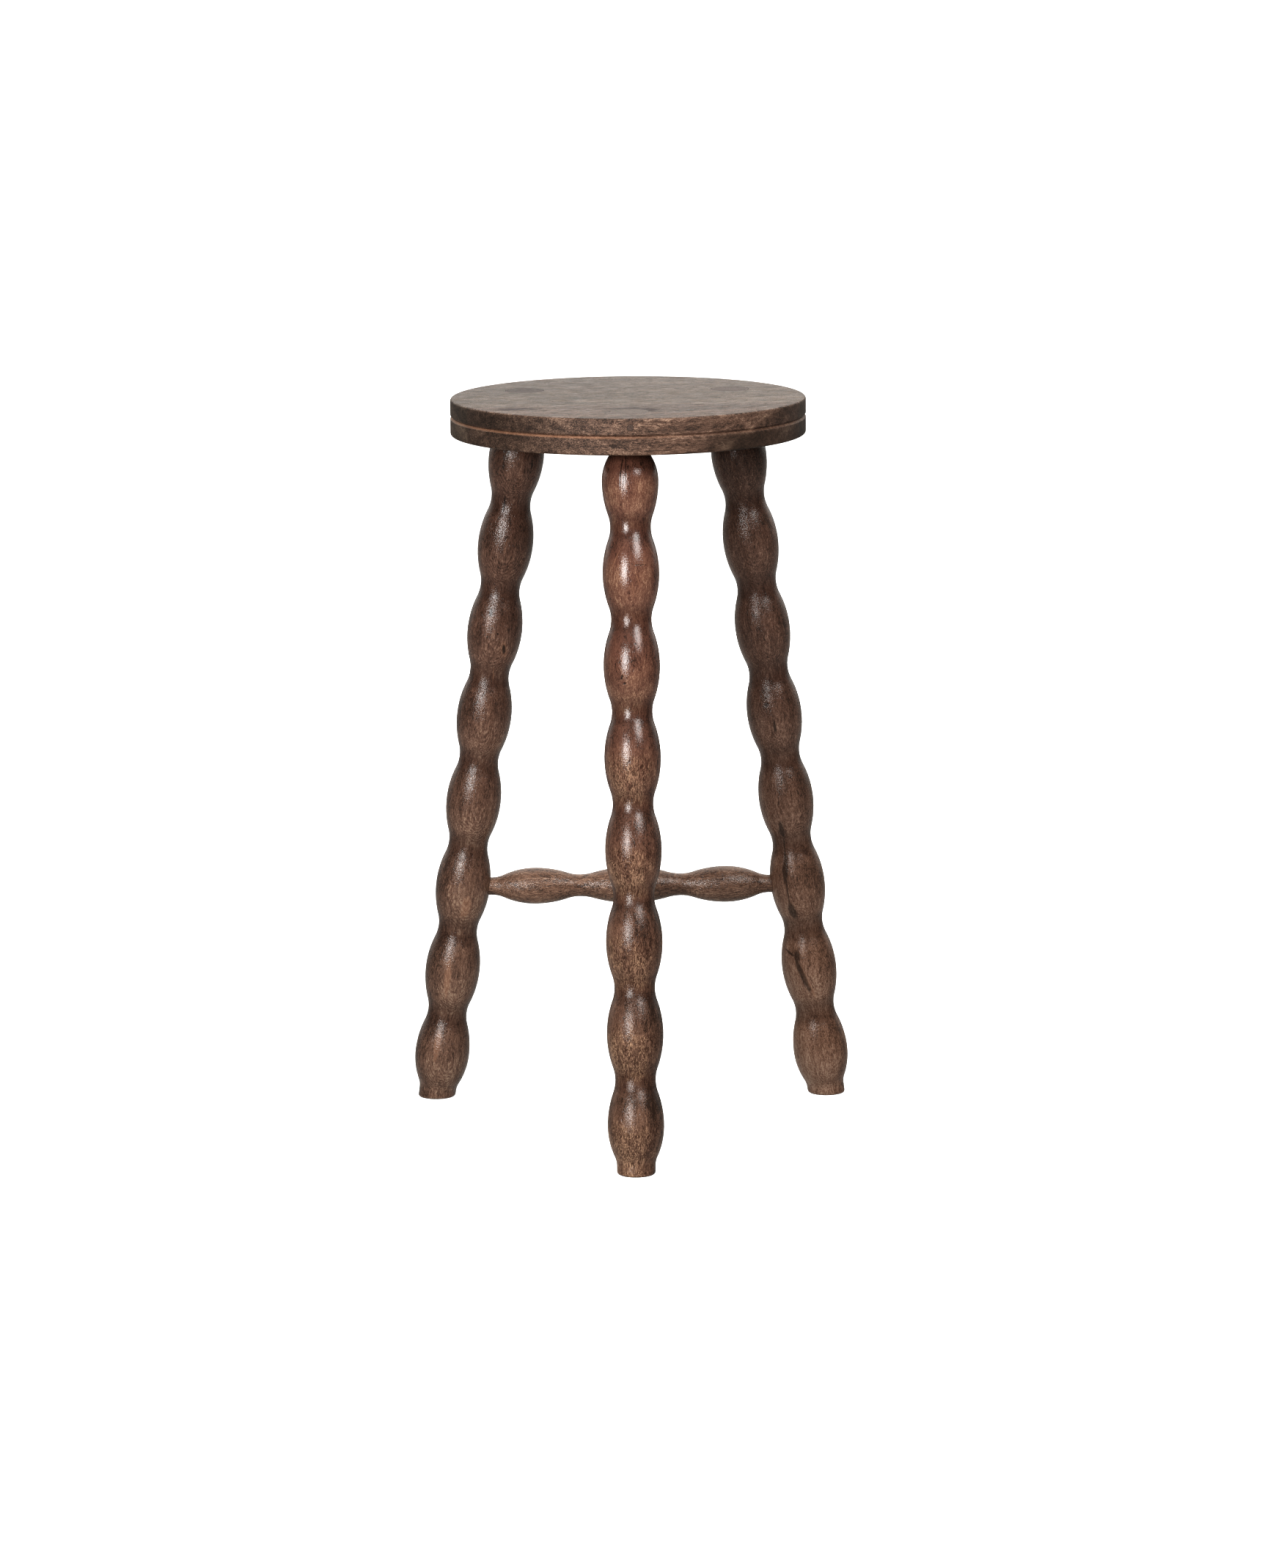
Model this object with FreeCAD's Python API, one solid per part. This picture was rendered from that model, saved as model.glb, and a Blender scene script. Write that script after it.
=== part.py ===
import FreeCAD, Part
import math
import os

# Three-legged stool with bobbin-turned legs. Millimetres, +Z up, +Y to the back.
# The origin is on the floor, under the middle of the seat.

# Seat: a round plank glued up from three boards, with a V groove turned round its rim
seat_d = 240.0
seat_height = 500.0
seat_thickness = 24.6
rim_round = 1.6
groove_drop = 12.2  # from the seat's top down to the middle of the groove
groove_width = 2.6
groove_depth = 1.3
board_turn = 4.0  # degrees from the X axis to the boards' grain
front_joint_y = -45.0  # glue joint between the front and middle boards, on the seat's middle line
rear_joint_y = 36.0  # glue joint between the middle and rear boards

# Legs: turned in equal beads, with a tenon through the seat
leg_angles = {"front": -90.0, "left": 150.0, "right": 30.0}
leg_radius_top = 80.6  # from the seat's middle to a leg's axis, at the seat's top
leg_radius_floor = 157.4  # the same at the floor
bead_count = 8
bead_d = 37.7
neck_d = 27.1
bead_share = 0.73  # share of the way from a bead's middle to a neck that is rounded, the rest is hollowed
low_bead_rise = 32.0  # along the leg, from the floor to the middle of the lowest bead
top_bead_drop = 21.3  # along the leg, from the seat's underside to the middle of the top bead
top_bead_share = 0.9
top_neck_length = 2.4  # plain neck on the leg's axis, between the top bead and the seat
leg_tenon_d = 26.0
foot_d = 25.8
foot_length = 5.0  # plain end below the lowest bead
foot_bead_share = 0.6
foot_round = 1.8

# Rails: a rear rail between the rear legs, and a front rail from the front leg to the middle of it
rail_bead_number = 3  # bead of the legs, counted from the floor, that takes the rails
rail_drop = 1.1  # from the middle of that bead down to the rails' axis
rail_bead_d = 25.2
rail_neck_d = 15.4
rail_tenon_d = 12.4
rear_rail_neck = 35.2  # from the rear rail's middle to each neck
rear_rail_bead = 66.0  # and to each end bead
front_rail_neck = 29.5  # the same on the front rail
front_rail_bead = 56.5
leg_stand_off = 1.4  # between a leg's bead and the start of a rail's tenon
rail_stand_off = 0.5  # between the rear rail's middle bead and the start of the front rail's tenon
leg_tenon_reach = 19.0  # length of a rail's tenon that goes to a leg
rail_tenon_reach = 11.0  # length of the front rail's tenon that goes to the rear rail

# Pegs: driven in from the rim to lock each leg's tenon
peg_d = 4.5
peg_drop = 6.1  # from the seat's top down to the peg's axis
peg_past_axis = 6.0  # how far a peg goes beyond the middle of the tenon

# Room left for glue all round a tenon or a peg
glue_gap = 0.1

# Places that follow from the sizes above
up = FreeCAD.Vector(0, 0, 1)
right = FreeCAD.Vector(1, 0, 0)
back = FreeCAD.Vector(0, 1, 0)
seat_underside = seat_height - seat_thickness
leg_length = math.hypot(seat_height, leg_radius_floor - leg_radius_top)
leg_rise = seat_height / leg_length  # height gained for each millimetre along a leg
leg_shoulder = seat_underside / leg_rise  # where a leg's axis meets the seat's underside
top_bead = leg_shoulder - top_bead_drop
bead_pitch = (top_bead - low_bead_rise) / (bead_count - 1)
rail_height = (low_bead_rise + (rail_bead_number - 1) * bead_pitch) * leg_rise - rail_drop


def outward(name):
    """Level direction from the seat's middle towards a leg."""
    angle = math.radians(leg_angles[name])
    return FreeCAD.Vector(math.cos(angle), math.sin(angle), 0)


def leg_radius(height):
    """Distance from the seat's middle line to a leg's axis at a height above the floor."""
    return leg_radius_floor + (leg_radius_top - leg_radius_floor) * height / seat_height


def leg_point(name, height):
    """Point of a leg's axis at a height above the floor."""
    return outward(name) * leg_radius(height) + up * height


def on_leg(name, shape):
    """Stands a shape made along Z on a leg's axis, with its zero at the floor."""
    foot = leg_point(name, 0)
    axis = leg_point(name, seat_height) - foot
    shape.Placement = FreeCAD.Placement(foot, FreeCAD.Rotation(up, axis))
    return shape


def up_to(height):
    """Level slab, wider than the stool, from the floor to a height."""
    reach = leg_radius_floor + seat_d
    return Part.makeBox(2 * reach, 2 * reach, height, FreeCAD.Vector(-reach, -reach, 0))


def rod(radius, start, end):
    """Round bar from one point to another."""
    return Part.makeCylinder(radius, (end - start).Length, start, end - start)


def chain(points):
    """Straight edges from each point to the next."""
    return [Part.makeLine(a, b) for a, b in zip(points, points[1:])]


def spun(edges):
    """Solid turned about Z from a closed outline in the XZ plane."""
    return Part.Face(Part.Wire(edges)).revolve(FreeCAD.Vector(), up, 360)


def half_wave(below, above, share):
    """Outline between a bead's middle and a neck, each given as a place along the axis and a radius.

    A rounded arc on the bead and a hollow arc at the neck meet smoothly, and both ends run along the axis.
    """
    bead, neck = (below, above) if below[1] > above[1] else (above, below)
    run = neck[0] - bead[0]
    fall = bead[1] - neck[1]
    both_radii = (run**2 + fall**2) / (2 * fall)
    turn = 2 * math.atan(fall / run)

    def arc(station, radius):
        at, distance = station
        points = []
        for angle in (0, turn / 2, turn):
            inward = radius * (1 - math.cos(angle))
            points.append(FreeCAD.Vector(distance - inward, 0, at + radius * math.sin(angle)))
        return Part.Arc(*points).toShape()

    rounded = arc(bead, share * both_radii)
    hollow = arc(neck, (share - 1) * both_radii)
    return [rounded, hollow] if bead is below else [hollow, rounded]


def turned(stations, shares, low_end, high_end):
    """Turned solid about Z: half waves from station to station, with plain ends below and above them."""
    edges = []
    for below, above, share in zip(stations, stations[1:], shares):
        edges += half_wave(below, above, share)
    low_at, low_r = stations[0]
    high_at, high_r = stations[-1]
    ends = [(high_at, high_r), (high_end, high_r), (high_end, 0)]
    ends += [(low_end, 0), (low_end, low_r), (low_at, low_r)]
    return spun(edges + chain([FreeCAD.Vector(radius, 0, at) for at, radius in ends]))


def peg_rod(name, radius, outer_end):
    """Level bar from inside a leg's tenon towards the rim, to a distance from the seat's middle."""
    level = up * (seat_height - peg_drop)
    inner_end = leg_radius(seat_height - peg_drop) - peg_past_axis
    return rod(radius, outward(name) * inner_end + level, outward(name) * outer_end + level)


def peg_hole(name):
    """Hole for a peg, with a flat bottom that the peg meets."""
    return peg_rod(name, peg_d / 2 + glue_gap, seat_d)


def rail_ends():
    """Where each rail's tenons start and end, as points on the rail's axis, by what they go into."""
    leg_side = bead_d / 2 + leg_stand_off
    rail_side = rail_bead_d / 2 + rail_stand_off
    left_start = leg_point("left", rail_height) + right * leg_side
    right_start = leg_point("right", rail_height) - right * leg_side
    front_start = leg_point("front", rail_height) + back * leg_side
    rail_start = (left_start + right_start) / 2 - back * rail_side
    return {
        "left": (left_start, left_start - right * leg_tenon_reach),
        "right": (right_start, right_start + right * leg_tenon_reach),
        "front": (front_start, front_start - back * leg_tenon_reach),
        "rail": (rail_start, rail_start + back * rail_tenon_reach),
    }


def mortise(end):
    """Hole for a rail's tenon, with a flat bottom that the tenon meets."""
    start, bottom = rail_ends()[end]
    return rod(rail_tenon_d / 2 + glue_gap, start, bottom)


def make_seat():
    """Round plank with rounded rim corners, the rim's groove, and holes for the legs and the pegs."""
    corner = rim_round * (1 - math.sqrt(0.5))  # inset of a rounded corner's middle from both of its faces
    groove = seat_height - groove_drop

    def rim(inset, height):
        return FreeCAD.Vector(seat_d / 2 - inset, 0, height)

    insets = [(rim_round, 0), (corner, corner), (0, rim_round)]
    low_corner = [rim(inset, seat_underside + rise) for inset, rise in insets]
    top_corner = [rim(inset, seat_height - drop) for inset, drop in reversed(insets)]
    groove_low = rim(0, groove - groove_width / 2)
    groove_high = rim(0, groove + groove_width / 2)
    edges = chain([up * seat_underside, low_corner[0]])
    edges.append(Part.Arc(*low_corner).toShape())
    edges += chain([low_corner[2], groove_low, rim(groove_depth, groove), groove_high, top_corner[0]])
    edges.append(Part.Arc(*top_corner).toShape())
    edges += chain([top_corner[2], up * seat_height, up * seat_underside])
    seat = spun(edges)
    for name in leg_angles:
        hole = on_leg(name, Part.makeCylinder(leg_tenon_d / 2 + glue_gap, 2 * leg_length))
        seat = seat.cut([hole, peg_hole(name)])
    return seat


def make_boards():
    """The seat's boards, split along their glue joints."""
    seat = make_seat()
    joints = [-seat_d, front_joint_y, rear_joint_y, seat_d]
    boards = {}
    for place, low, high in zip(["front", "middle", "rear"], joints, joints[1:]):
        strip = Part.makeBox(2 * seat_d, high - low, 2 * seat_height, FreeCAD.Vector(-seat_d, low, 0))
        strip.rotate(FreeCAD.Vector(), up, board_turn)
        boards["seat_board_" + place] = seat.common(strip)
    return boards


def make_leg(name):
    """Turned leg, cut level at foot and shoulder, with a tenon for the seat and a mortise for a rail."""
    beads = [low_bead_rise + number * bead_pitch for number in range(bead_count)]
    necks = [(low + high) / 2 for low, high in zip(beads, beads[1:])]
    necks.append(leg_shoulder - top_neck_length)
    stations = [(foot_length, foot_d / 2)]
    for bead, neck in zip(beads, necks):
        stations += [(bead, bead_d / 2), (neck, neck_d / 2)]
    shares = [foot_bead_share] + [bead_share] * (2 * bead_count - 2) + [top_bead_share]
    body = on_leg(name, turned(stations, shares, -foot_d, leg_length)).common(up_to(seat_underside))
    floor_edges = [edge for edge in body.Edges if edge.BoundBox.ZMax < foot_round / 2]
    body = body.makeFillet(foot_round, floor_edges)
    tenon = Part.makeCylinder(leg_tenon_d / 2, leg_length, up * necks[-1])
    tenon = on_leg(name, tenon).common(up_to(seat_height))
    return body.fuse(tenon).cut([mortise(name), peg_hole(name)])


def make_rail(low_end, high_end, neck, bead):
    """Turned rail with three beads and with round tenons at its tapered ends."""
    low_start, low_tip = rail_ends()[low_end]
    high_start, high_tip = rail_ends()[high_end]
    middle = (low_start + high_start) / 2
    half = (high_start - low_start).Length / 2
    side = [(neck, rail_neck_d / 2), (bead, rail_bead_d / 2), (half, rail_tenon_d / 2)]
    stations = [(-at, radius) for at, radius in reversed(side)] + [(0, rail_bead_d / 2)] + side
    shares = [bead_share] * (len(stations) - 1)
    rail = turned(stations, shares, -(low_tip - middle).Length, (high_tip - middle).Length)
    rail.Placement = FreeCAD.Placement(middle, FreeCAD.Rotation(up, high_tip - low_tip))
    return rail


def make_peg(name):
    """Round peg, cut off flush with the rim."""
    return peg_rod(name, peg_d / 2, seat_d).common(Part.makeCylinder(seat_d / 2, seat_height))


parts = make_boards()
for name in leg_angles:
    parts["leg_" + name] = make_leg(name)
    parts["peg_" + name] = make_peg(name)
parts["rail_rear"] = make_rail("left", "right", rear_rail_neck, rear_rail_bead).cut(mortise("rail"))
parts["rail_front"] = make_rail("front", "rail", front_rail_neck, front_rail_bead)

os.makedirs("parts", exist_ok=True)
for node, shape in parts.items():
    shape.exportStep("parts/" + node + ".step")
    print(node, shape.isValid(), len(shape.Solids), round(shape.Volume, 1))
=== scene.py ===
import math
import bmesh
import bpy
from mathutils import Matrix, Vector


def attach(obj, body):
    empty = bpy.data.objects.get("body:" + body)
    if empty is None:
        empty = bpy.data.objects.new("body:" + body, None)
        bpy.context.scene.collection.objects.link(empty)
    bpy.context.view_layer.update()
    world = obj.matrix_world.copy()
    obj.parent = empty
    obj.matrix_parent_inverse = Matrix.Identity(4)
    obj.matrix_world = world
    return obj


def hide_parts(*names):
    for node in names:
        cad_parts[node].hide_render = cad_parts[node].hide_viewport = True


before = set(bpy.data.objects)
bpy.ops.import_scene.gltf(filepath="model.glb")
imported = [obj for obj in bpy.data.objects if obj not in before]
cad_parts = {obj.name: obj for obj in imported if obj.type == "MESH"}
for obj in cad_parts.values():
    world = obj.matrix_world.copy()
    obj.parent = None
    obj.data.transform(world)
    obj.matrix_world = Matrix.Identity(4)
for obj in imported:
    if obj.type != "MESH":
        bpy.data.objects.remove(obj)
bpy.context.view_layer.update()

# Legs
# Three splayed legs of open-pored hardwood, turned between centres in eight equal beads.
# They are stained and lacquered, and each foot and shoulder is cut level.
# A round tenon goes up through the seat and ends flush with its top.
mm = 0.001
seat_height = 500 * mm
seat_thickness = 24.6 * mm
leg_angles = {"front": -90, "left": 150, "right": 30}
leg_radius_top = 80.6 * mm
leg_radius_floor = 157.4 * mm
leg_length = math.hypot(seat_height, leg_radius_floor - leg_radius_top)
tenon_radius = 13 * mm
leg_sizes = {
    "Length": leg_length,
    "Lean": (leg_radius_floor - leg_radius_top) / seat_height,
    "Shoulder": (seat_height - seat_thickness) * leg_length / seat_height,
    "Bead Radius": 18.85 * mm,
    "Neck Radius": 13.55 * mm,
    "Bead Share": 0.73,
    "Low Bead Rise": 32 * mm,
    "Top Bead Drop": 21.3 * mm,
    "Top Bead Share": 0.9,
    "Top Neck Length": 2.4 * mm,
    "Tenon Radius": tenon_radius,
    "Foot Radius": 12.9 * mm,
    "Foot Length": 5 * mm,
    "Foot Share": 0.76,
    "Foot Round": 1.8 * mm,
}
leg_counts = {"Beads": 8, "Sides": 96}


class Flow:
    """A value on its way through a node tree, so that sums on it can be written as sums."""

    def __init__(self, socket):
        self.socket = socket
        self.tree = socket.id_data

    def reckon(self, operation, *values):
        return put(self.tree, "ShaderNodeMath", values, operation=operation)

    def __add__(self, other):
        return self.reckon("ADD", self, other)

    def __sub__(self, other):
        return self.reckon("SUBTRACT", self, other)

    def __mul__(self, other):
        return self.reckon("MULTIPLY", self, other)

    def __truediv__(self, other):
        return self.reckon("DIVIDE", self, other)

    def __rsub__(self, other):
        return self.reckon("SUBTRACT", other, self)

    def __lt__(self, other):
        return self.reckon("LESS_THAN", self, other)

    def __gt__(self, other):
        return self.reckon("GREATER_THAN", self, other)

    __radd__ = __add__
    __rmul__ = __mul__

    def root(self):
        return self.reckon("SQRT", self.reckon("MAXIMUM", self, 0.0))

    def absolute(self):
        return self.reckon("ABSOLUTE", self)

    def cosine(self):
        return self.reckon("COSINE", self)

    def sine(self):
        return self.reckon("SINE", self)

    def or_more(self, other):
        return self.reckon("MAXIMUM", self, other)

    def or_less(self, other):
        return self.reckon("MINIMUM", self, other)

    def back_and_forth(self, reach):
        """Rises from 0 to the reach and falls back to 0, over and over."""
        return self.reckon("PINGPONG", self, reach)

    def choose(self, yes, no):
        """One value where this one is 1, another where it is 0, and a blend in between."""
        return put(self.tree, "ShaderNodeMix", {0: self, 2: no, 3: yes})


def put(tree, kind, inputs=(), output=0, **settings):
    """Adds a node, sets it up, feeds its inputs with plain values or flows, and gives one of its outputs."""
    node = tree.nodes.new(kind)
    for setting, value in settings.items():
        setattr(node, setting, value)
    for key, value in inputs.items() if isinstance(inputs, dict) else enumerate(inputs):
        if isinstance(value, Flow):
            tree.links.new(value.socket, node.inputs[key])
        else:
            node.inputs[key].default_value = value
    return Flow(node.outputs[output])


def split(place):
    """The three coordinates of a place, each as a flow of its own."""
    parts = put(place.tree, "ShaderNodeSeparateXYZ", [place]).socket.node
    return [Flow(socket) for socket in parts.outputs]


def open_rule(name, sizes, counts=()):
    """Starts a geometry tree with named inputs, and gives the tree with a flow for each of them."""
    rule = bpy.data.node_groups.new(name, "GeometryNodeTree")
    for size in sizes:
        rule.interface.new_socket(name=size, in_out="INPUT", socket_type="NodeSocketFloat")
    for count in counts:
        rule.interface.new_socket(name=count, in_out="INPUT", socket_type="NodeSocketInt")
    entry = rule.nodes.new("NodeGroupInput")
    return rule, {socket.name: Flow(socket) for socket in entry.outputs if socket.name}


# Half of a bead: a rounded arc on the bead runs smoothly into a hollow arc at the neck.
half_wave, given = open_rule("Half wave", ["Off Bead", "Run", "Bead Radius", "Neck Radius", "Share"])
off_bead, run = given["Off Bead"], given["Run"]
fall = given["Bead Radius"] - given["Neck Radius"]
both_radii = (run * run + fall * fall) / (2.0 * fall)
round_radius = given["Share"] * both_radii
hollow_radius = both_radii - round_radius
off_neck = run - off_bead
bead_arc = (round_radius * round_radius - off_bead * off_bead).root()
neck_arc = (hollow_radius * hollow_radius - off_neck * off_neck).root()
rounded = given["Bead Radius"] - round_radius + bead_arc
hollow = given["Neck Radius"] + hollow_radius - neck_arc
beyond = (off_bead < run).choose(hollow, given["Neck Radius"])
outline = (off_bead < given["Share"] * run).choose(rounded, beyond)
half_wave.interface.new_socket(name="Radius", in_out="OUTPUT", socket_type="NodeSocketFloat")
half_wave.links.new(outline.socket, half_wave.nodes.new("NodeGroupOutput").inputs[0])


def wave(rule, *values):
    """Radius between a bead and a neck: distance from the bead, run, bead and neck radius, share."""
    return put(rule, "GeometryNodeGroup", values, node_tree=half_wave)


def blank(rule, rings, sides):
    """Round blank between the lathe's centres, with each vertex's ring number and direction from the axis."""
    cylinder = put(rule, "GeometryNodeMeshCylinder", [sides, rings, 1, 1.0, rings], fill_type="NGON")
    x, y, z = split(put(rule, "GeometryNodeInputPosition"))
    return cylinder, z + rings / 2, x, y


def turn_down(rule, cylinder, radius, x, y, along):
    """Turns the blank down, and keeps each point's place on the lathe, which the wood follows."""
    place = put(rule, "ShaderNodeCombineXYZ", [radius * x, radius * y, along])
    shaped = put(rule, "GeometryNodeSetPosition", {"Geometry": cylinder, "Position": place})
    where = put(rule, "GeometryNodeInputPosition")
    named = {"Geometry": shaped, "Name": "lathe_place", "Value": where}
    kept = put(rule, "GeometryNodeStoreNamedAttribute", named, data_type="FLOAT_VECTOR", domain="POINT")
    smooth = put(rule, "GeometryNodeSetShadeSmooth", {"Geometry": kept})
    whole = put(rule, "GeometryNodeRealizeInstances", {"Geometry": smooth})
    rule.interface.new_socket(name="Wood", in_out="INPUT", socket_type="NodeSocketMaterial")
    rule.interface.new_socket(name="Turning", in_out="OUTPUT", socket_type="NodeSocketGeometry")
    entry = next(node for node in rule.nodes if node.bl_idname == "NodeGroupInput")
    wood = Flow(entry.outputs["Wood"])
    dressed = put(rule, "GeometryNodeSetMaterial", {"Geometry": whole, "Material": wood})
    rule.links.new(dressed.socket, rule.nodes.new("NodeGroupOutput").inputs[0])


foot_rings = 8
bead_rings = 480
leg_rings = foot_rings + bead_rings + 2
leg_rule, given = open_rule("Bobbin leg", leg_sizes, leg_counts)
cylinder, ring, x, y = blank(leg_rule, leg_rings, given["Sides"])
corner, shoulder = given["Foot Round"], given["Shoulder"]
quarter = ring * (math.pi / 2 / foot_rings)
foot_along = corner - corner * quarter.cosine()
foot_radius = given["Foot Radius"] - corner + corner * quarter.sine()
bead_along = corner + (shoulder - corner) * ((ring - float(foot_rings)) / float(bead_rings))
tenon_along = shoulder + (given["Length"] - shoulder) * (ring - float(leg_rings - 1))
on_foot = ring < foot_rings + 0.5
on_tenon = ring > leg_rings - 1.5
along = on_foot.choose(foot_along, on_tenon.choose(tenon_along, bead_along))
low_bead = given["Low Bead Rise"]
top_bead = shoulder - given["Top Bead Drop"]
half_pitch = (top_bead - low_bead) / (2.0 * (given["Beads"] - 1.0))
bead, neck = given["Bead Radius"], given["Neck Radius"]
off_bead = (along - low_bead).back_and_forth(half_pitch)
beads = wave(leg_rule, off_bead, half_pitch, bead, neck, given["Bead Share"])
low_run = low_bead - given["Foot Length"]
low_half = wave(leg_rule, low_bead - along, low_run, bead, given["Foot Radius"], given["Foot Share"])
top_run = given["Top Bead Drop"] - given["Top Neck Length"]
top_half = wave(leg_rule, along - top_bead, top_run, bead, neck, given["Top Bead Share"])
turned = (along < low_bead).choose(low_half, (along > top_bead).choose(top_half, beads))
radius = on_foot.choose(foot_radius, on_tenon.choose(given["Tenon Radius"], turned))
over_foot = (along - corner) / (given["Foot Length"] - corner)
under_shoulder = (shoulder - along) / given["Top Neck Length"]
level = put(leg_rule, "ShaderNodeClamp", [1.0 - over_foot.or_less(under_shoulder), 0.0, 1.0])
turn_down(leg_rule, cylinder, radius, x, y, along - level * radius * x * given["Lean"])


def as_plain_mesh(name, piece):
    """The mesh that a piece has once its modifiers have done their work."""
    mesh = bpy.data.meshes.new_from_object(piece.evaluated_get(bpy.context.evaluated_depsgraph_get()))
    mesh.name = name
    return mesh


def set_down(name, made):
    """Puts a mesh, a light or a camera into the scene as an object."""
    piece = bpy.data.objects.new(name, made)
    bpy.context.scene.collection.objects.link(piece)
    return piece


def take_off_lathe(name, rule, sizes, wood, stand):
    """Runs a turning rule with its sizes, and stands the result, a plain mesh, in its place."""
    carrier = set_down("Lathe", bpy.data.meshes.new("Lathe"))
    lathe = carrier.modifiers.new("Turning", "NODES")
    lathe.node_group = rule
    for socket in rule.interface.items_tree:
        if socket.in_out == "INPUT":
            lathe[socket.identifier] = wood if socket.name == "Wood" else sizes[socket.name]
    mesh = as_plain_mesh(name, carrier)
    carrier.modifiers.remove(lathe)
    bpy.data.objects.remove(carrier)
    mesh.transform(stand)
    turned_edge = 40
    mesh.set_sharp_from_angle(angle=math.radians(turned_edge))
    return set_down(name, mesh)


def tone(red, green, blue):
    """A colour as seen on a screen, from 0 to 255, as the light that it gives off."""
    parts = [value / 255 for value in (red, green, blue)]
    return (*[part / 12.92 if part < 0.0405 else ((part + 0.055) / 1.055) ** 2.4 for part in parts], 1)


def direction(degrees):
    """Cosine and sine of an angle."""
    return math.cos(math.radians(degrees)), math.sin(math.radians(degrees))


def stretch(place, x, y, z):
    """The same places, drawn out or closed up along each axis."""
    return put(place.tree, "ShaderNodeVectorMath", [place, (x, y, z)], operation="MULTIPLY")


def drawn_out(place, share):
    """The same places, with a pattern on them drawn out along the fibres, which run along Z."""
    return stretch(place, 1, 1, share)


def distance(one, other):
    """Distance from the point where both values are 0."""
    return (one * one + other * other).root()


def cloud(place, scale, detail=2.0, roughness=0.5):
    """Soft random patches from 0 to 1, about one over the scale apart."""
    inputs = {"Vector": place, "Scale": scale, "Detail": detail, "Roughness": roughness}
    return put(place.tree, "ShaderNodeTexNoise", inputs)


def rise(value, low, high):
    """Goes smoothly from 0 to 1 while the value goes from low to high, or the other way round."""
    inputs = {0: value, 1: low, 2: high, 3: 0.0, 4: 1.0}
    return put(value.tree, "ShaderNodeMapRange", inputs, interpolation_type="SMOOTHSTEP")


def blend(share, below, above):
    """Colour between two, by a share from 0 to 1."""
    return put(share.tree, "ShaderNodeMix", {0: share, 6: below, 7: above}, 2, data_type="RGBA")


def stain_scale(value, stops):
    """Colour for a value from 0 to 1, eased between a few stops."""
    ramp = put(value.tree, "ShaderNodeValToRGB", [value]).socket.node
    ramp.color_ramp.interpolation = "EASE"
    while len(ramp.color_ramp.elements) < len(stops):
        ramp.color_ramp.elements.new(0.5)
    for element, (at, colour) in zip(ramp.color_ramp.elements, stops):
        element.position = at
        element.color = colour
    return Flow(ramp.outputs[0])


def new_finish(name):
    """A new material, with its node tree and its shader."""
    finish = bpy.data.materials.new(name)
    finish.use_nodes = True
    return finish, finish.node_tree, finish.node_tree.nodes["Principled BSDF"]


def feed(shader, name, flow):
    """Leads a flow into one of the shader's sockets."""
    flow.tree.links.new(flow.socket, shader.inputs[name])


def faces_toward(normal, way):
    """How far a surface faces a direction, from -1 to 1."""
    return put(normal.tree, "ShaderNodeVectorMath", [normal, way], "Value", operation="DOT_PRODUCT")


def wander(place, scale, reach):
    """The same places, pushed sideways here and there, so that fibres which follow them run in waves."""
    drift = put(place.tree, "ShaderNodeTexNoise", {"Vector": place, "Scale": scale, "Detail": 1.0}, "Color")
    sideways = (reach, reach, 0)
    return put(place.tree, "ShaderNodeVectorMath", [drift, sideways, place], operation="MULTIPLY_ADD")


def hardwood(place, grain):
    """Stained open-pored hardwood as a solid, in millimetres with the fibres along Z.

    Gives its shade from 0 (dark) to 1 (light), its pores from 0 to 1 and the unevenness of its surface.
    """
    x, y, z = split(place)
    pith_x, pith_y = grain["pith"]
    sway = cloud(drawn_out(place, 0.3), 0.055, 1.0) * 5.0 + cloud(drawn_out(place, 0.45), 0.28, 2.0) * 1.5
    ring = distance(x - pith_x, y - pith_y) + sway
    line = (ring * (2 * math.pi / grain["ring_width"])).sine()
    years = put(place.tree, "ShaderNodeCombineXYZ", [ring, z * 0.02, 0.0])
    broad = cloud(years, 0.16, 1.0)
    wavy = wander(drawn_out(place, 0.5), 0.16, 5.0)
    figure = cloud(drawn_out(wavy, grain["fibre_length"]), 1.6, 2.0, 0.6)
    run = cloud(drawn_out(wavy, 0.2), 0.62, 1.0)
    vessels = rise((run - 0.5).absolute(), 0.1, 0.02)
    slow = cloud(drawn_out(wavy, 0.3), 0.13, 1.0)
    silk = rise((slow - 0.5).absolute(), 0.012, 0.0)
    grit = cloud(drawn_out(place, 0.6), 2.0, 1.0)
    mottle = cloud(drawn_out(place, 0.6), 0.1, 3.0, 0.6)
    streak = cloud(drawn_out(wavy, 0.08), 0.4, 2.0)
    broken = rise(cloud(drawn_out(wavy, 0.3), 0.5, 1.0), 0.3, 0.6)
    shade = 0.5 + (broad - 0.5) * grain["rings"] + line * broken * grain["lines"] + silk * grain["silk"]
    shade = shade + (rise(streak, 0.34, 0.66) - 0.5) * grain["streaks"]
    shade = shade + (rise(figure, 0.36, 0.64) - 0.5) * grain["figure"] - vessels * grain["vessels"]
    shade = shade + (rise(grit, 0.36, 0.64) - 0.5) * grain["grit"] + (mottle - 0.5) * grain["mottle"]
    across, length = grain["pore_size"]
    cell = stretch(wavy, 1 / across, 1 / across, 2 / length)
    near = put(place.tree, "ShaderNodeTexVoronoi", {"Vector": cell, "Scale": 1.0})
    patches = cloud(drawn_out(place, 0.4), 0.25, 1.0)
    pores = rise(near + (patches - 0.5) * 0.35, grain["pore_share"], grain["pore_share"] * 0.5)
    peel = cloud(place, 1.3, 1.0)
    return shade, pores, peel + figure * 0.25 + grit * 0.3 - pores * 0.3


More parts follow.
